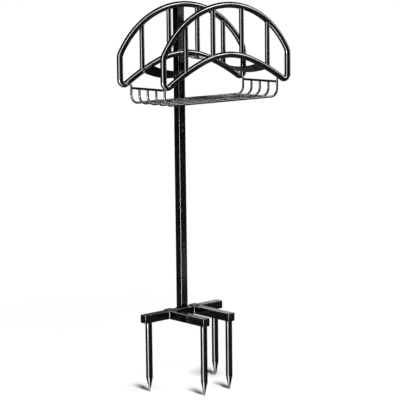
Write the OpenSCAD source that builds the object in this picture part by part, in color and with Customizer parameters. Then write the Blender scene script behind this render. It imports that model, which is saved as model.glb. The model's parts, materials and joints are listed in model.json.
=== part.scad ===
// Freestanding garden stand: a square post on a spiked base, with two arched hoops joined into a saddle
// and a wire tray below them. Millimetres. +Z is up, the front faces -Y, the spike tips are at z = 0
// and the bounding box is centred on the origin in X and Y.

/* [Post] */
// Outer width of the square tube of the post and the base
tube_w = 25; // [22:0.5:30]
// Wall of the square tube
tube_wall = 1.5; // [1:0.1:2]
// Outer corner radius of the square tube
tube_corner = 1.5; // [1:0.1:4]
// Length of the lower post section, which stands on the base
lower_len = 166; // [130:1:220]
// Length of the middle post section
middle_len = 366; // [260:1:480]
// Length of the upper post section, which carries the hoops
upper_len = 390; // [340:1:440]
// Diameter of the accessory hole near the top of the post
top_hole_d = 7; // [5:0.5:10]
// Distance of the accessory hole below the end of the tube
top_hole_drop = 31.5; // [25:0.5:60]

/* [Post joints] */
// Length of the square sleeve inside each joint
sleeve_len = 100; // [84:1:140]
// Wall of the sleeve
sleeve_wall = 1.5; // [1:0.1:2]
// Clearance between the sleeve and the tube on each side
sleeve_gap = 0.3; // [0.2:0.05:0.5]
// Diameter of the joint screws
screw_d = 6; // [5:0.5:7]
// Length of a screw under its head
screw_len = 12; // [10:0.5:16]
// Diameter of a screw's button head
head_d = 10.5; // [9:0.5:13]
// Height of a screw's button head
head_h = 3.3; // [2.6:0.1:4]
// Size of the head's hexagon socket across its flats
socket_af = 4; // [3:0.5:5]
// Depth of the hexagon socket
socket_depth = 2; // [1.5:0.1:2.4]
// Height of the first screw above the seam
screw_above_seam = 13; // [10:0.5:16]
// Distance between the two screws of a joint
screw_pitch = 19; // [15:0.5:24]
// Size of the weld nuts across their flats
nut_af = 10; // [9:0.5:12]
// Height of the weld nuts
nut_h = 5; // [4:0.5:6]
// Added to the screw's diameter for a clearance hole
screw_hole_gap = 0.6; // [0.4:0.1:1]
// Added to the screw's diameter for the bore of a nut
thread_gap = 0.1; // [0.05:0.05:0.3]

/* [Base] */
// Length of the rear bar from cap to cap
bar_len = 315; // [280:1:380]
// Distance between the centre lines of the two prongs
prong_gap = 102; // [90:1:130]
// Distance from the post's axis to the front ends of the prongs
prong_reach = 168; // [140:1:220]
// Thickness of the flange of an end cap
cap_t = 2.5; // [1.5:0.1:4]
// Thickness of the caps on the corner sockets and the post
top_cap_t = 3; // [2:0.1:5]
// Length of a cap's plug inside the tube
plug_len = 12; // [8:0.5:18]
// Wall of a cap's plug
plug_wall = 1.6; // [1.2:0.1:2.5]
// Clearance between a plug and the tube on each side
plug_gap = 0.2; // [0.1:0.05:0.4]

/* [Spikes] */
// Outer diameter of a spike
spike_d = 20.5; // [16:0.5:22]
// Wall of a spike's tube
spike_wall = 1.5; // [1:0.1:2.5]
// Height of a spike from its tip to the underside of the base
spike_h = 213; // [160:1:280]
// Length of the cone at the tip
tip_len = 43; // [30:1:60]
// Diameter of the blunt end of the cone
tip_end_d = 3; // [2:0.5:5]
// Length of the tip's shank inside the tube
tip_shank_len = 20; // [10:1:30]
// Radial clearance of the shank in the tube
tip_shank_gap = 0.1; // [0.05:0.05:0.3]
// Distance from the rear spikes' axes to the ends of the rear bar
rear_spike_inset = 22; // [15:0.5:40]
// Distance from the front spikes' axes to the front ends of the prongs
front_spike_inset = 14; // [13:0.5:40]

/* [Hoops] */
// Outer diameter of the hoops' tube
hoop_d = 18; // [14:0.5:20]
// Wall of the hoops' tube
hoop_wall = 1.2; // [0.8:0.1:2]
// Width of a hoop between the centre lines of its sides
hoop_w = 492; // [450:1:520]
// Height of the hoops' top centre line above the end of the post's tube
hoop_rise = 3; // [0:0.5:6]
// Distance between the planes of the two hoops
hoop_gap = 192; // [160:1:240]
// Radius of the top arc
top_r = 285; // [272:1:340]
// Radius of the shoulder bends
shoulder_r = 31; // [22:1:50]
// Radius of the lower corner bends
corner_r = 15; // [12:1:22]
// Distance between the top arc and the lower arc on the middle line
hoop_mid_h = 143.5; // [125:0.5:165]
// Radius of the middle of the lower arc
arch_r = 267; // [240:1:300]
// Half angle of the middle of the lower arc
arch_angle = 20; // [17:0.5:23]
// Radius of the lower arc's flanks
flank_r = 720; // [600:10:900]
// Outer diameter of the upright bars
bar_d = 14.5; // [12:0.5:16]
// Wall of the upright bars
bar_wall = 1.2; // [0.8:0.1:2]
// Distance between the two inner bars
inner_bar_gap = 113; // [90:1:130]
// Distance between the two outer bars
outer_bar_gap = 323; // [290:1:350]

/* [Saddle] */
// Width of a saddle slat
slat_w = 40; // [30:1:50]
// Thickness of a saddle slat
slat_t = 3; // [2:0.5:5]
// How far a slat sags between the hoops
slat_sag = 15; // [8:0.5:20]
// Distance from the middle line to the axis of each side slat
side_slat_x = 150; // [130:1:170]

/* [Tray] */
// Diameter of the tray's rods
rod_d = 7; // [5:0.5:8]
// Number of rods across the tray
rod_count = 5; // [4:1:7]
// Distance from the hoops' sides to the tray's sides
tray_inset_x = 22.5; // [18:0.5:40]
// Distance from each hoop to the nearest rod
tray_inset_y = 22; // [20:0.5:30]
// Depth of the rails below the hoops' lower arc at the tray's sides
rail_drop = 11.5; // [10:0.5:14]
// Depth of the tray below its rails
tray_depth = 44; // [34:1:60]
// Radius of the rods' corner bends
rod_bend_r = 24; // [16:1:28]
// Radius of the bends that turn the end rods to the hoops
crank_r = 8; // [6:0.5:10]

/* [Hidden] */

steel_black = "#17181a";
plastic_black = "#222325";
screw_black = "#2a2b2d";
zinc_grey = "#9a9c9e";

// Facets of round corners, of holes, of tubes and heads, and of long arcs
corner_fn = 24;
hole_fn = 32;
tube_fn = 48;
arc_fn = 180;
// Sides of a hoop's tube and of its bore
hoop_sides = 16;
hoop_bore_sides = 10;
// Steps along a hoop's top arc, its shoulders, its corners, the flanks of its lower arc and the arch
top_steps = 28;
shoulder_steps = 4;
corner_steps = 10;
flank_steps = 5;
arch_steps = 10;
// Share of a screw head's height that is its straight rim
rim_share = 0.25;
// Overlap of a cutting shape past the face that it cuts
cut = 1;

// Heights of the base and the post
base_z = spike_h;
base_top_z = base_z + tube_w;
lower_seam_z = base_top_z + lower_len;
upper_seam_z = lower_seam_z + middle_len;
post_end_z = upper_seam_z + upper_len;

// Planes of the hoops: the rear hoop's tube touches the front face of the post
rear_hoop_y = -(tube_w + hoop_d) / 2;
front_hoop_y = rear_hoop_y - hoop_gap;
middle_y = (rear_hoop_y + front_hoop_y) / 2;

// The post stands behind the origin, so that the whole stand is centred on it
front_extent = front_hoop_y - hoop_d / 2;
rear_extent = tube_w / 2;
post_y = -(front_extent + rear_extent) / 2;

// Inner sizes of the square tube; its inner corners never get sharper than this radius
least_corner = 0.2;
tube_inner_w = tube_w - 2 * tube_wall;
tube_inner_corner = max(tube_corner - tube_wall, least_corner);
sleeve_w = tube_inner_w - 2 * sleeve_gap;
plug_w = tube_inner_w - 2 * plug_gap;
sleeve_face = sleeve_w / 2;

// Places of the spikes and prongs
prong_x = prong_gap / 2;
rear_spike_x = bar_len / 2 - rear_spike_inset;
front_spike_y = -(prong_reach - front_spike_inset);
arm_start = prong_x + tube_w / 2;
arm_len = bar_len / 2 - cap_t - arm_start;
prong_len = prong_reach - cap_t - tube_w / 2;

// The hoop's outline lies in the XZ plane: its top arc, shoulders, sides, corners, flanks and arch
side_x = hoop_w / 2;
hoop_top_z = post_end_z + hoop_rise;
top_centre_z = hoop_top_z - top_r;
shoulder_x = side_x - shoulder_r;
shoulder_angle = asin(shoulder_x / (top_r - shoulder_r));
shoulder_z = top_centre_z + (top_r - shoulder_r) * cos(shoulder_angle);
arch_z = hoop_top_z - hoop_mid_h;
arch_centre_z = arch_z - arch_r;
flank_centre_x = (arch_r - flank_r) * sin(arch_angle);
flank_centre_z = arch_centre_z + (arch_r - flank_r) * cos(arch_angle);
corner_x = side_x - corner_r;
flank_angle = asin((corner_x - flank_centre_x) / (flank_r + corner_r));
corner_z = flank_centre_z + (flank_r + corner_r) * cos(flank_angle);
arch_edge_x = arch_r * sin(arch_angle);

// Height and slope of the lower arc's centre line at a distance x from the middle
function lower_z(x) = x < arch_edge_x
    ? arch_centre_z + sqrt(arch_r * arch_r - x * x)
    : flank_centre_z + sqrt(flank_r * flank_r - pow(x - flank_centre_x, 2));
function lower_slope(x) = x < arch_edge_x
    ? asin(x / arch_r)
    : asin((x - flank_centre_x) / flank_r);
// Height of the top arc's centre line at a distance x from the middle
function top_z(x) = top_centre_z + sqrt(top_r * top_r - x * x);

// Points along an arc, each with the direction that points out of the hoop: away from the arc's centre
// where out is 1 and towards it where out is -1
function arc_points(x, z, r, a0, a1, steps, out = 1) = [
    for (i = [0 : steps - 1])
        let (a = a0 + (a1 - a0) * i / steps)
        [x + r * cos(a), z + r * sin(a), out * cos(a), out * sin(a)]
];

// A hoop's closed outline, counterclockwise from the top of its right side
hoop_path = concat(
    arc_points(shoulder_x, shoulder_z, shoulder_r, 0, 90 - shoulder_angle, shoulder_steps),
    arc_points(0, top_centre_z, top_r, 90 - shoulder_angle, 90 + shoulder_angle, top_steps),
    arc_points(-shoulder_x, shoulder_z, shoulder_r, 90 + shoulder_angle, 180, shoulder_steps),
    [[-side_x, shoulder_z, -1, 0]],
    arc_points(-corner_x, corner_z, corner_r, 180, 270 + flank_angle, corner_steps),
    arc_points(-flank_centre_x, flank_centre_z, flank_r, 90 + flank_angle, 90 + arch_angle, flank_steps, -1),
    arc_points(0, arch_centre_z, arch_r, 90 + arch_angle, 90 - arch_angle, arch_steps, -1),
    arc_points(flank_centre_x, flank_centre_z, flank_r, 90 - arch_angle, 90 - flank_angle, flank_steps, -1),
    arc_points(corner_x, corner_z, corner_r, -90 - flank_angle, 0, corner_steps),
    [[side_x, corner_z, 1, 0]]
);

// The slats span the gap between the hoops' tubes
slat_span = hoop_gap - hoop_d;
slat_r = (slat_span * slat_span / 4 + slat_sag * slat_sag) / (2 * slat_sag);

// Places of the tray
tray_x = side_x - tray_inset_x;
tray_arm_z = lower_z(tray_x);
rail_z = tray_arm_z - rail_drop;
tray_z = rail_z - tray_depth;
tray_front_y = front_hoop_y + tray_inset_y;
tray_rear_y = rear_hoop_y - tray_inset_y;
rod_pitch = (tray_rear_y - tray_front_y) / (rod_count - 1);

// Puts a shape that is drawn around the post's axis in its place
module in_place() {
    translate([0, post_y, 0]) children();
}

// Square with round corners
module rounded_square(w, r) {
    square([w - 2 * r, w], center = true);
    square([w, w - 2 * r], center = true);
    for (sx = [-1, 1], sy = [-1, 1]) {
        translate([sx * (w / 2 - r), sy * (w / 2 - r)]) circle(r = r, $fn = corner_fn);
    }
}

// Square tube along +Z from the origin
module square_tube(len, w = tube_w, wall = tube_wall, r = tube_corner) {
    linear_extrude(height = len) difference() {
        rounded_square(w, r);
        rounded_square(w - 2 * wall, max(r - wall, least_corner));
    }
}

// Square tube along +X from the origin, or along -X where side is -1
module tube_along_x(len, side) {
    rotate([0, 90 * side, 0]) square_tube(len);
}

// Cap that closes a square tube: its flange lies on +Z and its plug hangs below
module tube_cap(flange) {
    linear_extrude(height = flange) rounded_square(tube_w, tube_corner);
    translate([0, 0, -plug_len]) linear_extrude(height = plug_len) difference() {
        square([plug_w, plug_w], center = true);
        square([plug_w - 2 * plug_wall, plug_w - 2 * plug_wall], center = true);
    }
}

// Hole through the front wall of the post at height z
module front_hole(d, z) {
    translate([0, 0, z]) rotate([90, 0, 0]) cylinder(d = d, h = tube_w / 2 + cut, $fn = hole_fn);
}

// Heights of the two screws above a seam
function screw_zs(seam_z) = [for (i = [0, 1]) seam_z + screw_above_seam + i * screw_pitch];

// Post section from z0 upwards, with the screw holes of the joint at its lower end if it has one
module post_section(z0, len, has_screws) {
    color(steel_black) in_place() difference() {
        translate([0, 0, z0]) square_tube(len);
        if (has_screws) {
            for (z = screw_zs(z0)) front_hole(screw_d + screw_hole_gap, z);
        }
    }
}

module lower_post() {
    post_section(base_top_z, lower_len, false);
}

module middle_post() {
    post_section(lower_seam_z, middle_len, true);
}

module upper_post() {
    color(steel_black) difference() {
        post_section(upper_seam_z, upper_len, true);
        in_place() translate([0, tube_w / 2 + cut, post_end_z - top_hole_drop])
            rotate([90, 0, 0]) cylinder(d = top_hole_d, h = tube_w + 2 * cut, $fn = hole_fn);
    }
}

module post_top_cap() {
    color(plastic_black) in_place() translate([0, 0, post_end_z]) tube_cap(top_cap_t);
}

// Sleeve that bridges a seam inside the post
module joint_sleeve(seam_z) {
    color(steel_black) in_place() difference() {
        translate([0, 0, seam_z - sleeve_len / 2])
            square_tube(sleeve_len, sleeve_w, sleeve_wall, tube_inner_corner + sleeve_wall);
        for (z = screw_zs(seam_z)) front_hole(screw_d + screw_hole_gap, z);
    }
}

module lower_joint_sleeve() {
    joint_sleeve(lower_seam_z);
}

module upper_joint_sleeve() {
    joint_sleeve(upper_seam_z);
}

// Button-head screw: its head stands on the origin's plane towards +Z and its shank points to -Z
module button_screw() {
    rim = head_h * rim_share;
    dome_h = head_h - rim;
    dome_r = (head_d * head_d / 4 + dome_h * dome_h) / (2 * dome_h);
    difference() {
        rotate_extrude($fn = tube_fn) intersection() {
            translate([0, head_h - dome_r]) circle(r = dome_r, $fn = arc_fn);
            square([head_d / 2, head_h]);
        }
        translate([0, 0, head_h - socket_depth])
            cylinder(r = socket_af / sqrt(3), h = socket_depth + cut, $fn = 6);
    }
    translate([0, 0, -screw_len]) cylinder(d = screw_d, h = screw_len, $fn = hole_fn);
}

module joint_screws(seam_z) {
    color(screw_black) in_place() for (z = screw_zs(seam_z)) {
        translate([0, -tube_w / 2, z]) rotate([90, 0, 0]) button_screw();
    }
}

module lower_joint_screws() {
    joint_screws(lower_seam_z);
}

module upper_joint_screws() {
    joint_screws(upper_seam_z);
}

// Hexagon nuts welded inside the sleeve's front wall
module joint_nuts(seam_z) {
    color(zinc_grey) in_place() for (z = screw_zs(seam_z)) {
        translate([0, -(sleeve_face - sleeve_wall - nut_h), z]) rotate([90, 0, 0]) difference() {
            cylinder(r = nut_af / sqrt(3), h = nut_h, $fn = 6);
            translate([0, 0, -cut]) cylinder(d = screw_d + thread_gap, h = nut_h + 2 * cut, $fn = hole_fn);
        }
    }
}

module lower_joint_nuts() {
    joint_nuts(lower_seam_z);
}

module upper_joint_nuts() {
    joint_nuts(upper_seam_z);
}

// Rear bar between the corner sockets
module base_centre_bar() {
    start = -(prong_x - tube_w / 2);
    color(steel_black) in_place() translate([start, 0, base_z + tube_w / 2]) tube_along_x(-2 * start, 1);
}

// Outer part of the rear bar, on the side -1 or 1
module base_arm(side) {
    color(steel_black) in_place()
        translate([side * arm_start, 0, base_z + tube_w / 2]) tube_along_x(arm_len, side);
}

module base_left_arm() {
    base_arm(-1);
}

module base_right_arm() {
    base_arm(1);
}

// Upright piece of tube where the arm, the centre bar and the prong meet
module corner_socket(side) {
    color(steel_black) in_place() translate([side * prong_x, 0, base_z]) square_tube(tube_w);
}

module left_corner_socket() {
    corner_socket(-1);
}

module right_corner_socket() {
    corner_socket(1);
}

module corner_socket_caps() {
    color(plastic_black) in_place() for (side = [-1, 1]) {
        translate([side * prong_x, 0, base_top_z]) tube_cap(top_cap_t);
    }
}

// Tube that runs forward from a corner socket
module prong(side) {
    color(steel_black) in_place() translate([side * prong_x, -tube_w / 2, base_z + tube_w / 2])
        rotate([90, 0, 0]) square_tube(prong_len);
}

module left_prong() {
    prong(-1);
}

module right_prong() {
    prong(1);
}

module arm_end_caps() {
    color(plastic_black) in_place() for (side = [-1, 1]) {
        translate([side * (arm_start + arm_len), 0, base_z + tube_w / 2])
            rotate([0, 90 * side, 0]) tube_cap(cap_t);
    }
}

module prong_end_caps() {
    color(plastic_black) in_place() for (side = [-1, 1]) {
        translate([side * prong_x, -(tube_w / 2 + prong_len), base_z + tube_w / 2])
            rotate([90, 0, 0]) tube_cap(cap_t);
    }
}

// Round tube of a spike, from the cone up to the underside of the base
module spike(x, y) {
    color(steel_black) in_place() translate([x, y, tip_len]) difference() {
        cylinder(d = spike_d, h = spike_h - tip_len, $fn = tube_fn);
        translate([0, 0, -cut])
            cylinder(d = spike_d - 2 * spike_wall, h = spike_h - tip_len + 2 * cut, $fn = tube_fn);
    }
}

// Solid cone with a shank that fills the end of the spike's tube
module spike_tip(x, y) {
    color(steel_black) in_place() translate([x, y, 0]) {
        cylinder(d1 = tip_end_d, d2 = spike_d, h = tip_len, $fn = tube_fn);
        translate([0, 0, tip_len])
            cylinder(r = spike_d / 2 - spike_wall - tip_shank_gap, h = tip_shank_len, $fn = tube_fn);
    }
}

module rear_left_spike() {
    spike(-rear_spike_x, 0);
}

module rear_right_spike() {
    spike(rear_spike_x, 0);
}

module front_left_spike() {
    spike(-prong_x, front_spike_y);
}

module front_right_spike() {
    spike(prong_x, front_spike_y);
}

module rear_left_spike_tip() {
    spike_tip(-rear_spike_x, 0);
}

module rear_right_spike_tip() {
    spike_tip(rear_spike_x, 0);
}

module front_left_spike_tip() {
    spike_tip(-prong_x, front_spike_y);
}

module front_right_spike_tip() {
    spike_tip(prong_x, front_spike_y);
}

// Arc of round bar in the XZ plane around (x, z), from angle a0 to a1 counted from +X towards +Z
module arc_bar(x, z, r, a0, a1, d) {
    translate([x, 0, z]) rotate([90, 0, 0]) rotate([0, 0, a0])
        rotate_extrude(angle = a1 - a0, $fn = arc_fn) translate([r, 0]) circle(d = d, $fn = tube_fn);
}

// Round bar of diameter d along the closed outline of a hoop
module hoop_sweep(d, sides) {
    rings = len(hoop_path);
    points = [
        for (p = hoop_path, k = [0 : sides - 1])
            let (a = 360 * k / sides, out = d / 2 * cos(a))
            [p[0] + out * p[2], d / 2 * sin(a), p[1] + out * p[3]]
    ];
    faces = [
        for (i = [0 : rings - 1], k = [0 : sides - 1])
            let (i2 = (i + 1) % rings, k2 = (k + 1) % sides)
            each [
                [i * sides + k, i2 * sides + k2, i * sides + k2],
                [i * sides + k, i2 * sides + k, i2 * sides + k2]
            ]
    ];
    polyhedron(points = points, faces = faces, convexity = 10);
}

module hoop(y) {
    color(steel_black) in_place() translate([0, y, 0]) difference() {
        hoop_sweep(hoop_d, hoop_sides);
        hoop_sweep(hoop_d - 2 * hoop_wall, hoop_bore_sides);
    }
}

module rear_hoop() {
    hoop(rear_hoop_y);
}

module front_hoop() {
    hoop(front_hoop_y);
}

// Upright bars of a hoop, whose ends are coped to its tube
module hoop_bars(y) {
    color(steel_black) in_place() translate([0, y, 0]) for (x = [inner_bar_gap / 2, outer_bar_gap / 2]) {
        bar_h = top_z(x) - lower_z(x);
        for (side = [0, 1]) mirror([side, 0, 0]) difference() {
            translate([x, 0, lower_z(x)]) difference() {
                cylinder(d = bar_d, h = bar_h, $fn = tube_fn);
                translate([0, 0, -cut])
                    cylinder(d = bar_d - 2 * bar_wall, h = bar_h + 2 * cut, $fn = tube_fn);
            }
            arc_bar(0, top_centre_z, top_r, 90 - shoulder_angle, 90, hoop_d);
            arc_bar(0, arch_centre_z, arch_r, 90 - arch_angle, 90, hoop_d);
            arc_bar(flank_centre_x, flank_centre_z, flank_r, 90 - flank_angle, 90 - arch_angle, hoop_d);
        }
    }
}

module rear_hoop_bars() {
    hoop_bars(rear_hoop_y);
}

module front_hoop_bars() {
    hoop_bars(front_hoop_y);
}

// Curved strip between the hoops, which follows the lower arc's slope at a distance x from the middle
module saddle_slat(x, side) {
    color(steel_black) in_place() mirror([side < 0 ? 1 : 0, 0, 0])
        translate([x, middle_y, lower_z(x)]) rotate([0, lower_slope(x), 0]) rotate([90, 0, 90])
        linear_extrude(height = slat_w, center = true) intersection() {
            translate([0, slat_r - slat_sag]) difference() {
                circle(r = slat_r + slat_t / 2, $fn = 2 * arc_fn);
                circle(r = slat_r - slat_t / 2, $fn = 2 * arc_fn);
            }
            translate([-slat_span / 2, -slat_sag - slat_t]) square([slat_span, slat_sag + 2 * slat_t]);
        }
}

module left_saddle_slat() {
    saddle_slat(side_slat_x, -1);
}

module centre_saddle_slat() {
    saddle_slat(0, 1);
}

module right_saddle_slat() {
    saddle_slat(side_slat_x, 1);
}

// Straight rod along Y, which joins the end rods of the tray on one side
module tray_rail(side) {
    color(steel_black) in_place() translate([side * tray_x, tray_rear_y - rod_d / 2, rail_z])
        rotate([90, 0, 0]) cylinder(d = rod_d, h = tray_rear_y - tray_front_y - rod_d, $fn = tube_fn);
}

module left_tray_rail() {
    tray_rail(-1);
}

module right_tray_rail() {
    tray_rail(1);
}

// Rod bent to a U in the XZ plane, whose ends stand up to z_end
module u_rod(z_end) {
    bend_z = tray_z + rod_bend_r;
    bend_x = tray_x - rod_bend_r;
    translate([-bend_x, 0, tray_z]) rotate([0, 90, 0]) cylinder(d = rod_d, h = 2 * bend_x, $fn = tube_fn);
    for (side = [0, 1]) mirror([side, 0, 0]) {
        arc_bar(bend_x, bend_z, rod_bend_r, -90, 0, rod_d);
        translate([tray_x, 0, bend_z]) cylinder(d = rod_d, h = z_end - bend_z, $fn = tube_fn);
    }
}

// Bend from +Z towards -Y with a straight run after it
module crank(run) {
    translate([0, -crank_r, 0]) rotate([0, 90, 0]) rotate([0, 0, 90])
        rotate_extrude(angle = 90, $fn = arc_fn) translate([crank_r, 0]) circle(d = rod_d, $fn = tube_fn);
    translate([0, -crank_r, crank_r]) rotate([90, 0, 0]) cylinder(d = rod_d, h = run, $fn = tube_fn);
}

// End rod of the tray: its ends bend towards a hoop's tube, to -Y where dir is 1 and to +Y where it is -1
module end_rod(y, dir) {
    run = tray_inset_y - hoop_d / 2 - crank_r;
    color(steel_black) in_place() translate([0, y, 0]) {
        u_rod(tray_arm_z - crank_r);
        for (side = [-1, 1]) translate([side * tray_x, 0, tray_arm_z - crank_r])
            mirror([0, dir < 0 ? 1 : 0, 0]) crank(run);
    }
}

module tray_front_rod() {
    end_rod(tray_front_y, 1);
}

module tray_rear_rod() {
    end_rod(tray_rear_y, -1);
}

module tray_middle_rods() {
    color(steel_black) in_place() for (i = [1 : rod_count - 2]) {
        translate([0, tray_front_y + i * rod_pitch, 0]) u_rod(rail_z - rod_d / 2);
    }
}

lower_post();
middle_post();
upper_post();
post_top_cap();
lower_joint_sleeve();
upper_joint_sleeve();
lower_joint_screws();
upper_joint_screws();
lower_joint_nuts();
upper_joint_nuts();
base_centre_bar();
base_left_arm();
base_right_arm();
left_corner_socket();
right_corner_socket();
corner_socket_caps();
left_prong();
right_prong();
arm_end_caps();
prong_end_caps();
rear_left_spike();
rear_right_spike();
front_left_spike();
front_right_spike();
rear_left_spike_tip();
rear_right_spike_tip();
front_left_spike_tip();
front_right_spike_tip();
rear_hoop();
front_hoop();
rear_hoop_bars();
front_hoop_bars();
left_saddle_slat();
centre_saddle_slat();
right_saddle_slat();
left_tray_rail();
right_tray_rail();
tray_front_rod();
tray_middle_rods();
tray_rear_rod();
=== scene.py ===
import json
import math

import bpy
from mathutils import Matrix, Vector


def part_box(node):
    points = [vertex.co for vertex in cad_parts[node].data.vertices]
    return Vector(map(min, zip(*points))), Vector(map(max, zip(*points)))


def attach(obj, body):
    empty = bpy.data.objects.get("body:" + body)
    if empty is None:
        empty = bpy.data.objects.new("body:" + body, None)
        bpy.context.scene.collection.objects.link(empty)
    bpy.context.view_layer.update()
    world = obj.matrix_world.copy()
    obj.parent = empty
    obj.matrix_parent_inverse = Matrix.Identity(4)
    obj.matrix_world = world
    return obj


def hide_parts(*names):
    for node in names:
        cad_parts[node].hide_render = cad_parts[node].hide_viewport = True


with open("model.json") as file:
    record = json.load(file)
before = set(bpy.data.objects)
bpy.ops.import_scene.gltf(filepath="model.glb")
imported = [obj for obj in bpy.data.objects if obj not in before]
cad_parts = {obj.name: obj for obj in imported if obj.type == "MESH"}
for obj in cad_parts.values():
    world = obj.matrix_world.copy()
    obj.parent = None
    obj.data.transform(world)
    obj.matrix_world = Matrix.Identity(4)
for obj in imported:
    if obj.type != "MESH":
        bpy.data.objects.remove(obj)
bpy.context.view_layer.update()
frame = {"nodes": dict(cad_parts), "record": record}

MM = 0.001
BODY = "root"
BOTH_SIDES = (-1, 1)


def middle(node_name, axis):
    """Middle of a node's box along an axis, counted 0 to 2 for X to Z."""
    lo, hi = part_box(node_name)
    return (lo[axis] + hi[axis]) / 2


# Places and sizes taken from the frame
post_lo, post_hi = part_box("upper_post")
tube_w = post_hi[0] - post_lo[0]
half_w = tube_w / 2
post_y = middle("upper_post", 1)
post_front_y = post_lo[1]
post_end_z = post_hi[2]
hoop_lo, hoop_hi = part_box("rear_hoop")
hoop_r = (hoop_hi[1] - hoop_lo[1]) / 2
rear_y = middle("rear_hoop", 1)
front_y = middle("front_hoop", 1)
side_x = hoop_hi[0] - hoop_r
hoop_top_z = hoop_hi[2] - hoop_r
prong_x = middle("right_prong", 0)
base_lo, base_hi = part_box("base_centre_bar")

# Each hoop's Y with the direction in Y that points to the other hoop
HOOP_PLANES = ((rear_y, -1), (front_y, 1))

# Sizes as in the CAD source
TOP_R = 285 * MM
SHOULDER_R = 31 * MM
CORNER_R = 15 * MM
HOOP_MID_H = 143.5 * MM
ARCH_R = 267 * MM
ARCH_ANGLE = math.radians(20)
FLANK_R = 720 * MM
BAR_R = 7.25 * MM
BAR_X = (56.5 * MM, 161.5 * MM)
SLAT_X = 150 * MM
SLAT_HALF_W = 20 * MM
SLAT_T = 3 * MM
TUBE_CORNER = 1.5 * MM
PLUG_W = 21.6 * MM
PLUG_LEN = 12 * MM
ROD_R = 3.5 * MM
MIDDLE_RODS = 3

# Centres, ends and angles of the arcs in a hoop's outline
top_centre_z = hoop_top_z - TOP_R
shoulder_x = side_x - SHOULDER_R
shoulder_angle = math.asin(shoulder_x / (TOP_R - SHOULDER_R))
shoulder_z = top_centre_z + (TOP_R - SHOULDER_R) * math.cos(shoulder_angle)
arch_centre_z = hoop_top_z - HOOP_MID_H - ARCH_R
flank_centre_x = (ARCH_R - FLANK_R) * math.sin(ARCH_ANGLE)
flank_centre_z = arch_centre_z + (ARCH_R - FLANK_R) * math.cos(ARCH_ANGLE)
corner_x = side_x - CORNER_R
flank_angle = math.asin((corner_x - flank_centre_x) / (FLANK_R + CORNER_R))
corner_z = flank_centre_z + (FLANK_R + CORNER_R) * math.cos(flank_angle)
arch_edge_x = ARCH_R * math.sin(ARCH_ANGLE)

# How finely the round shapes are cut
HOOP_SIDES = 48
SIDE_STEPS = 12
SHOULDER_STEPS = 16
TOP_STEPS = 140
CORNER_STEPS = 24
FLANK_STEPS = 30
ARCH_STEPS = 48
BAR_STEPS = 48
ROD_STEPS = 20
SPIKE_STEPS = 60
SOFT_EDGE_STEPS = 8


def lower_z(x, offset=0.0):
    """Height above x of the lower arc's centre line, or of a line at an offset above it."""
    x = abs(x)
    if x < arch_edge_x:
        return arch_centre_z + math.sqrt((ARCH_R + offset) ** 2 - x * x)
    return flank_centre_z + math.sqrt((FLANK_R + offset) ** 2 - (x - flank_centre_x) ** 2)


def arc(cx, cz, r, a0, a1, steps, out=1):
    """Points along an arc with the direction that points out of the hoop."""
    points = []
    for i in range(steps):
        a = a0 + (a1 - a0) * i / steps
        points.append((cx + r * math.cos(a), cz + r * math.sin(a), out * math.cos(a), out * math.sin(a)))
    return points


def straight(x, z0, z1, out):
    """Points along a straight side of the hoop with the direction that points out of it."""
    return [(x, z0 + (z1 - z0) * i / SIDE_STEPS, out, 0.0) for i in range(SIDE_STEPS)]


def hoop_path():
    """The hoop's closed outline in the XZ plane, counterclockwise from its right side."""
    # Angles of the directions up and left
    up, left = math.pi / 2, math.pi
    path = straight(side_x, corner_z, shoulder_z, 1)
    path += arc(shoulder_x, shoulder_z, SHOULDER_R, 0.0, up - shoulder_angle, SHOULDER_STEPS)
    path += arc(0, top_centre_z, TOP_R, up - shoulder_angle, up + shoulder_angle, TOP_STEPS)
    path += arc(-shoulder_x, shoulder_z, SHOULDER_R, up + shoulder_angle, left, SHOULDER_STEPS)
    path += straight(-side_x, shoulder_z, corner_z, -1)
    path += arc(-corner_x, corner_z, CORNER_R, left, left + up + flank_angle, CORNER_STEPS)
    path += arc(-flank_centre_x, flank_centre_z, FLANK_R, up + flank_angle, up + ARCH_ANGLE, FLANK_STEPS, -1)
    path += arc(0, arch_centre_z, ARCH_R, up + ARCH_ANGLE, up - ARCH_ANGLE, ARCH_STEPS, -1)
    path += arc(flank_centre_x, flank_centre_z, FLANK_R, up - ARCH_ANGLE, up - flank_angle, FLANK_STEPS, -1)
    path += arc(corner_x, corner_z, CORNER_R, -up - flank_angle, 0.0, CORNER_STEPS)
    return path


def circle(centre, normal_axis, r, steps):
    """Points round a circle whose axis is Y or Z."""
    points = []
    for i in range(steps):
        a = 2 * math.pi * i / steps
        u, v = r * math.cos(a), r * math.sin(a)
        offset = {"y": (u, 0, v), "z": (u, v, 0)}[normal_axis]
        points.append(tuple(c + o for c, o in zip(centre, offset)))
    return points


def rounded_outline(half, corner, steps=8):
    """Points round a square with round corners, centred on the origin."""
    points = []
    for quarter, (sx, sy) in enumerate([(1, 1), (-1, 1), (-1, -1), (1, -1)]):
        for i in range(steps + 1):
            a = math.pi / 2 * (quarter + i / steps)
            points.append((sx * (half - corner) + corner * math.cos(a),
                           sy * (half - corner) + corner * math.sin(a)))
    return points


def ring_faces(rings, sides, closed, start=0):
    """Quads that join rings of points, and end faces where the sweep is open."""
    faces = []
    last = rings if closed else rings - 1
    for i in range(last):
        j = (i + 1) % rings
        for k in range(sides):
            m = (k + 1) % sides
            faces.append((start + i * sides + k, start + i * sides + m,
                          start + j * sides + m, start + j * sides + k))
    if not closed:
        faces.append(tuple(start + k for k in range(sides))[::-1])
        faces.append(tuple(start + (rings - 1) * sides + k for k in range(sides)))
    return faces


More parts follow.
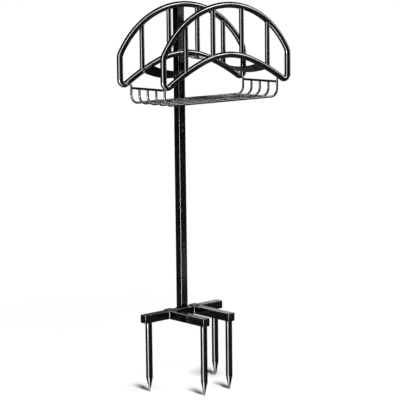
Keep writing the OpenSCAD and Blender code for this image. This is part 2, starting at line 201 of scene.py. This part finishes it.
def add_mesh(name, vertices, faces):
    """A smoothly shaded mesh object from plain lists."""
    mesh = bpy.data.meshes.new(name)
    mesh.from_pydata(vertices, [], faces)
    mesh.update()
    mesh.polygons.foreach_set("use_smooth", [True] * len(mesh.polygons))
    piece = bpy.data.objects.new(name, mesh)
    bpy.context.scene.collection.objects.link(piece)
    return piece


def finish_piece(piece, slot_name):
    """Gives a new piece its material and lets it ride on the stand."""
    piece.data.materials.append(materials[slot_name])
    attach(piece, BODY)


class Beads:
    """Weld beads: rippled round seams along lines of points, gathered in one mesh."""

    SIDES = 12
    STEP = 0.45 * MM
    RIPPLE_LENGTH = 2.3 * MM
    # Shares of the radius taken by the ripple, by a slower wave and by the ripple's lean
    RIPPLE = 0.09
    SLOW = 0.07
    LEAN = 0.075
    # The slower wave's turn at each point, and the phases that make each bead differ
    SLOW_TURN = 0.11
    PHASE = 1.7
    SLOW_PHASE = 2.1
    # Share of the radius that is left at an open end, before the square root
    BLUNT_END = 0.08
    # Directions that set where a ring starts, the second where the first is nearly along the bead
    REFERENCE = Vector((0.31, 0.17, 0.93))
    SPARE_REFERENCE = Vector((0.93, 0.31, 0.17))
    NEARLY_ALONG = 0.2

    def __init__(self):
        self.vertices = []
        self.faces = []
        self.count = 0

    def add(self, points, r, closed=False, ripple=1.0):
        """One bead of radius r along the points, which are spaced evenly first."""
        points = self.even([Vector(p) for p in points], closed)
        n = len(points)
        start = len(self.vertices)
        self.count += 1
        phase = self.count * self.PHASE
        for i, p in enumerate(points):
            ahead = points[(i + 1) % n] if closed or i < n - 1 else p
            behind = points[i - 1] if closed or i > 0 else p
            along = (ahead - behind).normalized()
            side = along.cross(self.REFERENCE)
            if side.length < self.NEARLY_ALONG:
                side = along.cross(self.SPARE_REFERENCE)
            side.normalize()
            up = along.cross(side)
            wave = math.sin(2 * math.pi * i * self.STEP / self.RIPPLE_LENGTH + phase)
            slow = math.sin(self.SLOW_TURN * i + self.SLOW_PHASE * phase)
            radius = r * (1 + ripple * (self.RIPPLE * wave + self.SLOW * slow))
            if not closed:
                end = min(i, n - 1 - i) * self.STEP / r
                radius *= math.sqrt(min(1.0, self.BLUNT_END + end))
            for k in range(self.SIDES):
                a = 2 * math.pi * k / self.SIDES
                lean = self.LEAN * r * ripple * wave * math.cos(a)
                q = p + radius * (math.cos(a) * side + math.sin(a) * up) + lean * along
                self.vertices.append(tuple(q))
        self.faces += ring_faces(n, self.SIDES, closed, start)

    def even(self, points, closed):
        """The same line with points STEP apart."""
        if closed:
            points = points + [points[0]]
        lengths = [0.0]
        for a, b in zip(points, points[1:]):
            lengths.append(lengths[-1] + (b - a).length)
        n = max(4, round(lengths[-1] / self.STEP))
        result, j = [], 0
        for i in range(n if closed else n + 1):
            s = lengths[-1] * i / n
            while j < len(points) - 2 and lengths[j + 1] < s:
                j += 1
            span = lengths[j + 1] - lengths[j]
            t = (s - lengths[j]) / span if span > 0 else 0.0
            result.append(points[j].lerp(points[j + 1], min(1.0, t)))
        return result

    def build(self, name):
        """Puts the gathered beads in the scene as one steel piece."""
        finish_piece(add_mesh(name, self.vertices, self.faces), "steel")


# Shader nodes
def new_material(name):
    """A material with its node tree and its shader."""
    material = bpy.data.materials.new(name)
    material.use_nodes = True
    tree = material.node_tree
    return material, tree, tree.nodes["Principled BSDF"]


def object_coords(tree):
    """The object's own coordinates, in metres."""
    return tree.nodes.new("ShaderNodeTexCoord").outputs["Object"]


def noise(tree, coords, scale, detail, roughness):
    """A noise texture's value."""
    node = tree.nodes.new("ShaderNodeTexNoise")
    node.inputs["Scale"].default_value = scale
    node.inputs["Detail"].default_value = detail
    node.inputs["Roughness"].default_value = roughness
    tree.links.new(coords, node.inputs["Vector"])
    return node.outputs["Fac"]


def remap(tree, value, lo, hi, out_lo, out_hi):
    """A value mapped from one range to another and held inside it."""
    node = tree.nodes.new("ShaderNodeMapRange")
    node.inputs["From Min"].default_value = lo
    node.inputs["From Max"].default_value = hi
    node.inputs["To Min"].default_value = out_lo
    node.inputs["To Max"].default_value = out_hi
    tree.links.new(value, node.inputs["Value"])
    return node.outputs["Result"]


def combine(tree, operation, first, second):
    """The result of a math node for two values."""
    node = tree.nodes.new("ShaderNodeMath")
    node.operation = operation
    tree.links.new(first, node.inputs[0])
    tree.links.new(second, node.inputs[1])
    return node.outputs["Value"]


def measure(tree, operation, vector, other):
    """A number from a vector socket and a fixed vector, such as their distance."""
    node = tree.nodes.new("ShaderNodeVectorMath")
    node.operation = operation
    node.inputs[1].default_value = other
    tree.links.new(vector, node.inputs[0])
    return node.outputs["Value"]


def ramp(tree, value, stops):
    """Colours along a value."""
    node = tree.nodes.new("ShaderNodeValToRGB")
    elements = node.color_ramp.elements
    while len(elements) < len(stops):
        elements.new(0.5)
    for element, (at, colour) in zip(elements, stops):
        element.position = at
        element.color = (*colour, 1.0)
    tree.links.new(value, node.inputs["Fac"])
    return node.outputs["Color"]


def grey_ramp(tree, value, levels):
    """Greys along a value."""
    return ramp(tree, value, [(at, (level, level, level)) for at, level in levels])


def bump(tree, height, strength, distance):
    """A bumped normal from a height."""
    node = tree.nodes.new("ShaderNodeBump")
    node.inputs["Strength"].default_value = strength
    node.inputs["Distance"].default_value = distance
    tree.links.new(height, node.inputs["Height"])
    return node.outputs["Normal"]


def mix_shaders(tree, share, first, second, output):
    """Joins two shaders to an output, with the second taking a share."""
    node = tree.nodes.new("ShaderNodeMixShader")
    tree.links.new(share, node.inputs["Fac"])
    tree.links.new(first, node.inputs[1])
    tree.links.new(second, node.inputs[2])
    tree.links.new(node.outputs["Shader"], output.inputs["Surface"])


# Materials, whose tones and roughness change over this part of a noise's range
NOISE_SPAN = (0.3, 0.7)


def surface(name, tones, tone_noise, roughness, rough_noise, rough_span=NOISE_SPAN, skin=None,
            skin_noise=None, constants=()):
    """A material whose colour, roughness and skin each follow their own noise.

    A noise is (scale, detail, roughness), the skin is the bump's (strength, distance), and
    the constants are (socket, value) pairs of the shader itself.
    """
    material, tree, shader = new_material(name)
    coords = object_coords(tree)
    tone = ramp(tree, noise(tree, coords, *tone_noise), list(zip(NOISE_SPAN, tones)))
    tree.links.new(tone, shader.inputs["Base Color"])
    cloud = noise(tree, coords, *rough_noise)
    tree.links.new(remap(tree, cloud, *rough_span, *roughness), shader.inputs["Roughness"])
    if skin:
        tree.links.new(bump(tree, noise(tree, coords, *skin_noise), *skin), shader.inputs["Normal"])
    for socket, value in constants:
        shader.inputs[socket].default_value = value
    return material


materials = {
    # Gloss black powder coat: deep colour, light handling haze and a faint orange peel
    "steel": surface("gloss_powder_coat",
                     tones=((0.0012, 0.0012, 0.0013), (0.0026, 0.0026, 0.0028)),
                     tone_noise=(22.0, 4.0, 0.6),
                     roughness=(0.07, 0.12), rough_noise=(60.0, 5.0, 0.65), rough_span=(0.3, 0.75),
                     skin=(0.1, 0.016 * MM), skin_noise=(900.0, 1.0, 0.4)),
    # Moulded black plastic of the caps: satin skin with a fine grain
    "cap_plastic": surface("moulded_cap_plastic",
                           tones=((0.002, 0.002, 0.0021), (0.004, 0.004, 0.0042)),
                           tone_noise=(90.0, 3.0, 0.5),
                           roughness=(0.14, 0.22), rough_noise=(300.0, 3.0, 0.6),
                           skin=(0.12, 0.1 * MM), skin_noise=(3200.0, 2.0, 0.6),
                           constants=[("Specular IOR Level", 0.3)]),
    # Black oxide steel of the screws: dark skin with a mottled oil sheen
    "screw": surface("black_oxide_steel",
                     tones=((0.004, 0.004, 0.0042), (0.009, 0.0088, 0.0086)),
                     tone_noise=(500.0, 3.0, 0.6),
                     roughness=(0.34, 0.48), rough_noise=(900.0, 3.0, 0.6),
                     skin=(0.08, 0.1 * MM), skin_noise=(4000.0, 2.0, 0.5),
                     constants=[("Specular IOR Level", 0.08)]),
    # Zinc plated steel of the nuts: pale metal with a crystalline cloud
    "nut": surface("zinc_plated_steel",
                   tones=((0.42, 0.43, 0.45), (0.62, 0.63, 0.64)),
                   tone_noise=(700.0, 4.0, 0.6),
                   roughness=(0.25, 0.4), rough_noise=(1200.0, 3.0, 0.6),
                   constants=[("Metallic", 1.0)]),
}
for part in frame["record"]["subparts"]:
    for material_slot in frame["nodes"][part["node"]].material_slots:
        material_slot.link = "OBJECT"
        material_slot.material = materials[part["material_slot"]]

# Small chamfers at the ends of the post's sections, so that the seams show as fine grooves
for name in ("lower_post", "middle_post", "upper_post"):
    chamfer = frame["nodes"][name].modifiers.new("chamfer", "BEVEL")
    chamfer.width = 0.8 * MM
    chamfer.segments = 2
    chamfer.limit_method = "ANGLE"
    chamfer.angle_limit = math.radians(60)

# Hoops of smooth round tube
outline = hoop_path()
for hoop_name, hoop_y in (("rear_hoop", rear_y), ("front_hoop", front_y)):
    vertices = []
    for x, z, nx, nz in outline:
        for k in range(HOOP_SIDES):
            a = 2 * math.pi * k / HOOP_SIDES
            out = hoop_r * math.cos(a)
            vertices.append((x + out * nx, hoop_y + hoop_r * math.sin(a), z + out * nz))
    hoop = add_mesh(hoop_name + "_tube", vertices, ring_faces(len(outline), HOOP_SIDES, True))
    finish_piece(hoop, "steel")
    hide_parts(hoop_name)

# Weld beads where the upright bars stand on the hoops' tubes
BAR_BEAD = 1.3 * MM
bar_beads = Beads()
for hoop_y in (rear_y, front_y):
    for bar_x in BAR_X:
        for sign in BOTH_SIDES:
            upper, lower = [], []
            for i in range(BAR_STEPS):
                a = 2 * math.pi * i / BAR_STEPS
                x = bar_x + BAR_R * math.cos(a)
                y = BAR_R * math.sin(a)
                reach = math.sqrt(hoop_r ** 2 - y * y)
                upper_z = top_centre_z + math.sqrt((TOP_R - reach) ** 2 - x * x)
                upper.append((sign * x, hoop_y + y, upper_z))
                lower.append((sign * x, hoop_y + y, lower_z(x, reach)))
            bar_beads.add(upper, BAR_BEAD, closed=True)
            bar_beads.add(lower, BAR_BEAD, closed=True)
bar_beads.build("upright_bar_welds")

# Weld beads along the ends of the saddle's slats, above and below
SLAT_BEAD = 1.5 * MM
SLAT_BEAD_POINTS = 20
SLAT_BEAD_OUT = 0.3 * MM
SLAT_BEAD_RISE = 0.6 * SLAT_T
slat_beads = Beads()
for slat_x in (-SLAT_X, 0.0, SLAT_X):
    for hoop_y, inward in HOOP_PLANES:
        y = hoop_y + inward * (hoop_r + SLAT_BEAD_OUT)
        for level in (1, -1):
            line = []
            for i in range(SLAT_BEAD_POINTS):
                across = 2 * i / (SLAT_BEAD_POINTS - 1) - 1
                x = slat_x + (SLAT_HALF_W - SLAT_BEAD) * across
                line.append((x, y, lower_z(x) + level * SLAT_BEAD_RISE))
            slat_beads.add(line, SLAT_BEAD)
slat_beads.build("saddle_slat_welds")

# Weld beads of the tray: at the rails' ends, on the hoops and under the rails
RAIL_BEAD = 1.0 * MM
RAIL_BEAD_IN = 0.4 * MM
ARM_BEAD = 1.3 * MM
ARM_BEAD_SINK = 0.1 * MM
ROD_BEAD_SINK = 0.2 * MM
tray_beads = Beads()
rail_lo, rail_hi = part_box("right_tray_rail")
tray_x = middle("right_tray_rail", 0)
rail_z = middle("right_tray_rail", 2)
arm_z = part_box("tray_front_rod")[1][2] - ROD_R
rods_lo, rods_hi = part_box("tray_middle_rods")
first_rod_y = rods_lo[1] + ROD_R
last_rod_y = rods_hi[1] - ROD_R
for sign in BOTH_SIDES:
    for end_y in (rail_lo[1], rail_hi[1]):
        rail_end = (sign * tray_x, end_y, rail_z)
        tray_beads.add(circle(rail_end, "y", ROD_R - RAIL_BEAD_IN, ROD_STEPS), RAIL_BEAD, closed=True)
    for hoop_y, inward in HOOP_PLANES:
        arm_end = (sign * tray_x, hoop_y + inward * (hoop_r - ARM_BEAD_SINK), arm_z)
        tray_beads.add(circle(arm_end, "y", ROD_R, ROD_STEPS), ARM_BEAD, closed=True)
    for i in range(MIDDLE_RODS):
        rod_y = first_rod_y + (last_rod_y - first_rod_y) * i / (MIDDLE_RODS - 1)
        rod_end = (sign * tray_x, rod_y, rail_z - ROD_R + ROD_BEAD_SINK)
        tray_beads.add(circle(rod_end, "z", ROD_R - ROD_BEAD_SINK, ROD_STEPS), RAIL_BEAD, closed=True)
tray_beads.build("tray_welds")

# Weld beads between the rear hoop and the post
POST_BEAD = 1.6 * MM
POST_BEAD_HALF = 0.42 * tube_w
POST_BEAD_OUT = 0.8 * MM
POST_BEAD_RISE = 5.6 * MM
post_beads = Beads()
for centre_z, levels in ((hoop_top_z, (-1,)), (lower_z(0.0), (-1, 1))):
    for level in levels:
        z = centre_z + level * POST_BEAD_RISE
        line = [(POST_BEAD_HALF * t, post_front_y - POST_BEAD_OUT, z) for t in (-1, -0.5, 0, 0.5, 1)]
        post_beads.add(line, POST_BEAD)
post_beads.build("post_welds")

# Weld beads of the base: in the corners before its bar, behind the prongs, round the post and on the spikes
CORNER_BEAD = 2.2 * MM
CORNER_BEAD_IN = 1.0 * MM
CORNER_RIPPLE = 0.1
SEAM_BEAD = 1.5 * MM
SEAM_BEAD_IN = 1.0 * MM
FOOT_BEAD = 1.6 * MM
FOOT_BEAD_RISE = 0.2 * MM
SPIKE_BEAD = 1.4 * MM
SPIKE_BEAD_IN = 0.2 * MM
SPIKES = ("rear_left_spike", "rear_right_spike", "front_left_spike", "front_right_spike")


def upright_line(x, y, end):
    """A line up the base's bar, whose ends keep clear of the bar's edges."""
    return [(x, y, base_lo[2] + end), (x, y, base_hi[2] - end)]


base_beads = Beads()
for sign in BOTH_SIDES:
    for edge in BOTH_SIDES:
        x = sign * prong_x + edge * half_w
        corner = upright_line(x - edge * CORNER_BEAD_IN, post_y - half_w - CORNER_BEAD_IN, CORNER_BEAD_IN)
        base_beads.add(corner, CORNER_BEAD, ripple=CORNER_RIPPLE)
        base_beads.add(upright_line(x, post_y + half_w - SEAM_BEAD_IN, SEAM_BEAD), SEAM_BEAD)
foot = [(x, post_y + y, base_hi[2] + FOOT_BEAD_RISE) for x, y in rounded_outline(half_w, TUBE_CORNER)]
base_beads.add(foot, FOOT_BEAD, closed=True)
for name in SPIKES:
    lo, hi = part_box(name)
    spike_top = (middle(name, 0), middle(name, 1), hi[2] - SPIKE_BEAD_IN)
    seat_r = (hi[0] - lo[0]) / 2 - SPIKE_BEAD_IN
    base_beads.add(circle(spike_top, "z", seat_r, SPIKE_STEPS), SPIKE_BEAD, closed=True)
base_beads.build("base_welds")


# Caps: a flange with a soft edge, and its plug
CAP_SOFT = 2.0 * MM
CAP_RIM = 0.6 * MM
PLUG_CORNER = 1.0 * MM


def add_caps(name, node_name, places, flange):
    """Caps at places, each (centre of the tube's end, direction out of the tube), in place of a node."""
    profile = [(0.0, 0.0)]
    for i in range(SOFT_EDGE_STEPS + 1):
        a = math.pi / 2 * i / SOFT_EDGE_STEPS
        profile.append((CAP_SOFT * (1 - math.cos(a)), flange - CAP_SOFT * (1 - math.sin(a))))
    profile.append((CAP_SOFT + CAP_RIM, flange))
    flange_loops = [(height, rounded_outline(half_w - inset, max(TUBE_CORNER - inset, CAP_RIM)))
                    for inset, height in profile]
    plug_outline = rounded_outline(PLUG_W / 2, PLUG_CORNER)
    plug_loops = [(height, plug_outline) for height in (-PLUG_LEN, 0.0)]
    sides = len(plug_outline)
    vertices, faces = [], []
    for centre, out in places:
        turn = Vector((0, 0, 1)).rotation_difference(Vector(out)).to_matrix()
        for loops in (flange_loops, plug_loops):
            faces += ring_faces(len(loops), sides, False, len(vertices))
            for height, loop in loops:
                vertices += [tuple(Vector(centre) + turn @ Vector((x, y, height))) for x, y in loop]
    piece = add_mesh(name, vertices, faces)
    finish_piece(piece, "cap_plastic")
    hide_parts(node_name)


base_mid_z = middle("base_centre_bar", 2)
arm_end_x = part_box("base_right_arm")[1][0]
prong_end_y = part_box("right_prong")[0][1]
socket_top_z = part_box("right_corner_socket")[1][2]
side_cap_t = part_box("arm_end_caps")[1][0] - arm_end_x
top_cap_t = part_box("post_top_cap")[1][2] - post_end_z
add_caps("post_cap", "post_top_cap", [((0, post_y, post_end_z), (0, 0, 1))], top_cap_t)
add_caps("socket_caps", "corner_socket_caps",
         [((s * prong_x, post_y, socket_top_z), (0, 0, 1)) for s in BOTH_SIDES], top_cap_t)
add_caps("arm_caps", "arm_end_caps",
         [((s * arm_end_x, post_y, base_mid_z), (s, 0, 0)) for s in BOTH_SIDES], side_cap_t)
add_caps("prong_caps", "prong_end_caps",
         [((s * prong_x, prong_end_y, base_mid_z), (0, -1, 0)) for s in BOTH_SIDES], side_cap_t)

# Camera at the photograph's place
AZIMUTH = math.radians(42.02)
ELEVATION = math.radians(8.58)
ROLL = math.radians(-0.65)
EYE = Vector((-3.1465, -3.4743, 1.2896))
right = Vector((math.cos(AZIMUTH), -math.sin(AZIMUTH), 0.0))
up = Vector((math.sin(AZIMUTH) * math.sin(ELEVATION), math.cos(AZIMUTH) * math.sin(ELEVATION),
             math.cos(ELEVATION)))
back = right.cross(up)
rolled_right = math.cos(ROLL) * right + math.sin(ROLL) * up
rolled_up = -math.sin(ROLL) * right + math.cos(ROLL) * up
camera_data = bpy.data.cameras.new("camera")
camera_data.sensor_width = 36.0
camera_data.sensor_fit = "HORIZONTAL"
camera_data.lens = 142.73
camera_data.clip_end = 100.0
camera = bpy.data.objects.new("camera", camera_data)
bpy.context.scene.collection.objects.link(camera)
rotation = Matrix((rolled_right, rolled_up, back)).transposed()
camera.matrix_world = Matrix.Translation(EYE) @ rotation.to_4x4()
bpy.context.scene.camera = camera

# Lamps
AIM = Vector((0.0, 0.0, 1.05))


def area_light(name, centre, facing, along, width, length, radiance):
    """A rectangular soft light that faces a direction, with its length along another."""
    data = bpy.data.lights.new(name, "AREA")
    data.shape = "RECTANGLE"
    data.size = width
    data.size_y = length
    data.energy = radiance * math.pi * width * length
    light = bpy.data.objects.new(name, data)
    bpy.context.scene.collection.objects.link(light)
    behind = -Vector(facing).normalized()
    across = Vector(along).cross(behind).normalized()
    lengthwise = behind.cross(across)
    turn = Matrix((across, lengthwise, behind)).transposed()
    light.matrix_world = Matrix.Translation(centre) @ turn.to_4x4()
    return light


def strip_light(name, start, end, radiance, width=0.7, distance=3.2):
    """A strip of soft light between two directions seen from the middle of the hoops."""
    a = AIM + Vector(start).normalized() * distance
    b = AIM + Vector(end).normalized() * distance
    centre = (a + b) / 2
    return area_light(name, centre, AIM - centre, b - a, width, (b - a).length, radiance)


def wall_light(name, angle, z0, z1, radiance, width=1.0, distance=3.2):
    """An upright strip of soft light beside the stand, at an angle to the left of the camera."""
    turn = math.atan2(EYE[1], EYE[0]) - math.radians(angle)
    centre = Vector((distance * math.cos(turn), distance * math.sin(turn), (z0 + z1) / 2))
    return area_light(name, centre, (-centre[0], -centre[1], 0), (0, 0, 1), width, z1 - z0, radiance)


# A small box with a grid, so that it reaches only the upper edges of the base
edge_light = area_light("edge_light", Vector((-0.025, 0.45, 0.685)), facing=(-0.05, -0.7, -0.7),
                        along=(0, 0.7, -0.7), width=0.35, length=0.2, radiance=0.7)
edge_light.data.spread = math.radians(34)

# Directions in which the strips over and under the hoops meet
ROOF_JOINT = (-0.1, -0.34, 0.93)
ROOF_RIGHT_JOINT = (0.323, -0.516, 0.794)
LOW_JOINT = (-0.21, -0.286, -0.927)

# Angles of the key's core and of the place that the post's front face mirrors
KEY_ANGLE = 36
FRONT_FACE_ANGLE = -83.5

# The lamps that the gloss mirrors: walls from one height to another, and strips between two directions
gloss_lights = [
    wall_light("key_core", KEY_ANGLE, -3.4, 3.6, 24.0),
    wall_light("key_wing", 16, -2.3, 3.7, 3.6, width=1.1),
    strip_light("roof_left", (-0.76, -0.25, 0.60), ROOF_JOINT, 26.0),
    strip_light("roof_middle", ROOF_JOINT, ROOF_RIGHT_JOINT, 19.0, width=0.6),
    strip_light("roof_right", ROOF_RIGHT_JOINT, (0.67, -0.57, 0.47), 31.0),
    strip_light("right_top", (0.705, -0.475, 0.50), (0.79, -0.56, 0.24), 15.5, width=0.55, distance=3.1),
    strip_light("right_strip", (0.70, -0.555, 0.43), (0.96, -0.27, -0.06), 14.0, width=0.6),
    wall_light("post_key", KEY_ANGLE, -0.46, 0.485, 64.0, distance=3.1),
    wall_light("base_key", KEY_ANGLE, -0.56, -0.47, 8.0, distance=3.1),
    edge_light,
    wall_light("top_card", FRONT_FACE_ANGLE, 0.8, 1.25, 0.95, width=0.5),
    wall_light("low_card", FRONT_FACE_ANGLE, -0.34, -0.19, 0.47, width=0.5),
    strip_light("low_left", (-0.75, -0.26, -0.6), LOW_JOINT, 20.0),
    strip_light("low_right", LOW_JOINT, (0.05, -0.347, -0.93), 20.0),
]
for light in gloss_lights:
    light.visible_diffuse = False

# The lamp that throws the shadows
shadow_side = Vector((-0.31, -0.95, 1.15)).normalized()
shadow_box = area_light("shadow_box", shadow_side * 3.0, facing=-shadow_side, along=(1, 0, 0),
                        width=0.8, length=0.8, radiance=62.0)
shadow_box.visible_glossy = False

# World: white for camera and transmission rays, and for the gloss a dark room with a white backdrop
world = bpy.data.worlds.new("studio")
bpy.context.scene.world = world
world.use_nodes = True
tree = world.node_tree
toward = tree.nodes.new("ShaderNodeTexCoord").outputs["Generated"]
rise = measure(tree, "DOT_PRODUCT", toward, (0.0, 0.0, 1.0))

# The room's levels from straight down, at 0, to straight up, at 1
room_levels = [(0.0, 0.16), (0.33, 0.1), (0.39, 0.12), (0.425, 0.07), (0.48, 0.02), (0.51, 0.06),
               (0.6, 0.06), (0.7, 0.02)]
room = tree.nodes["Background"]
tree.links.new(grey_ramp(tree, remap(tree, rise, -1.0, 1.0, 0.0, 1.0), room_levels), room.inputs["Color"])
white = tree.nodes.new("ShaderNodeBackground")
white.inputs["Color"].default_value = (1.0, 1.0, 1.0, 1.0)
white.inputs["Strength"].default_value = 1.0

# The backdrop stands behind the stand, with levels from its left end, at 0, to its right end, at 1
BACKDROP_REACH = 0.4
BACKDROP_LOWER_EDGE = (-0.15, -0.12)
BACKDROP_UPPER_EDGE = (0.32, 0.35)
backdrop_levels = [(0.08, 0.0), (0.1, 0.08), (0.466, 0.08), (0.482, 0.2), (0.49, 0.4), (0.5, 0.7),
                   (0.512, 1.0), (0.9, 1.0), (0.92, 0.0)]
sideways = measure(tree, "DOT_PRODUCT", toward, right)
along_backdrop = remap(tree, sideways, -BACKDROP_REACH, BACKDROP_REACH, 0.0, 1.0)
backdrop = grey_ramp(tree, along_backdrop, backdrop_levels)
above_lower_edge = remap(tree, rise, *BACKDROP_LOWER_EDGE, 0.0, 1.0)
below_upper_edge = remap(tree, rise, *BACKDROP_UPPER_EDGE, 1.0, 0.0)
behind_stand = remap(tree, measure(tree, "DOT_PRODUCT", toward, -back), 0.0, 0.1, 0.0, 1.0)
for limit in (above_lower_edge, below_upper_edge, behind_stand):
    backdrop = combine(tree, "MULTIPLY", backdrop, limit)
ray = tree.nodes.new("ShaderNodeLightPath").outputs
in_gloss = combine(tree, "MULTIPLY", ray["Is Glossy Ray"], backdrop)
in_view = combine(tree, "ADD", ray["Is Camera Ray"], ray["Is Transmission Ray"])
mix_shaders(tree, combine(tree, "ADD", in_view, in_gloss), room.outputs["Background"],
            white.outputs["Background"], tree.nodes["World Output"])

# Floor: it glows for the camera, but for a patch round each spike's tip that keeps its shadow
FLOOR_HALF = 9
TIP_SHADOW_REACH = 0.038
PATCH_RADII = (0.02, 0.08)
GLOW_BY_STAND = 0.95
FULL_GLOW_RADII = (0.5, 1.5)
corners = [(x * FLOOR_HALF, y * FLOOR_HALF, 0) for x, y in ((-1, -1), (1, -1), (1, 1), (-1, 1))]
floor = add_mesh("studio_floor", corners, [(0, 1, 2, 3)])
material, tree, shader = new_material("pale_floor")
tone = noise(tree, object_coords(tree), scale=3.0, detail=3.0, roughness=0.5)
tree.links.new(grey_ramp(tree, tone, zip(NOISE_SPAN, (0.91, 0.94))), shader.inputs["Base Color"])
shader.inputs["Roughness"].default_value = 0.8
shader.inputs["Specular IOR Level"].default_value = 0.0
glow = tree.nodes.new("ShaderNodeEmission")
glow.inputs["Strength"].default_value = 1.03
shadow_run = Vector((-shadow_side[0], -shadow_side[1], 0.0)).normalized() * TIP_SHADOW_REACH
nearest_patch = None
for name in SPIKES:
    tip = name + "_tip"
    patch = Vector((middle(tip, 0), middle(tip, 1), 0.0)) + shadow_run
    distance = measure(tree, "DISTANCE", object_coords(tree), patch)
    nearest_patch = distance if nearest_patch is None else combine(tree, "MINIMUM", nearest_patch, distance)
from_stand = measure(tree, "DISTANCE", object_coords(tree), (0.0, 0.0, 0.0))
off_patches = remap(tree, nearest_patch, *PATCH_RADII, 0.0, GLOW_BY_STAND)
far_away = remap(tree, from_stand, *FULL_GLOW_RADII, 0.0, 1.0)
in_view = tree.nodes.new("ShaderNodeLightPath").outputs["Is Camera Ray"]
glow_share = combine(tree, "MULTIPLY", combine(tree, "MAXIMUM", off_patches, far_away), in_view)
mix_shaders(tree, glow_share, shader.outputs["BSDF"], glow.outputs["Emission"],
            tree.nodes["Material Output"])
floor.visible_glossy = False
floor.visible_shadow = False
floor.data.materials.append(material)

bpy.context.scene.view_settings.view_transform = "Standard"
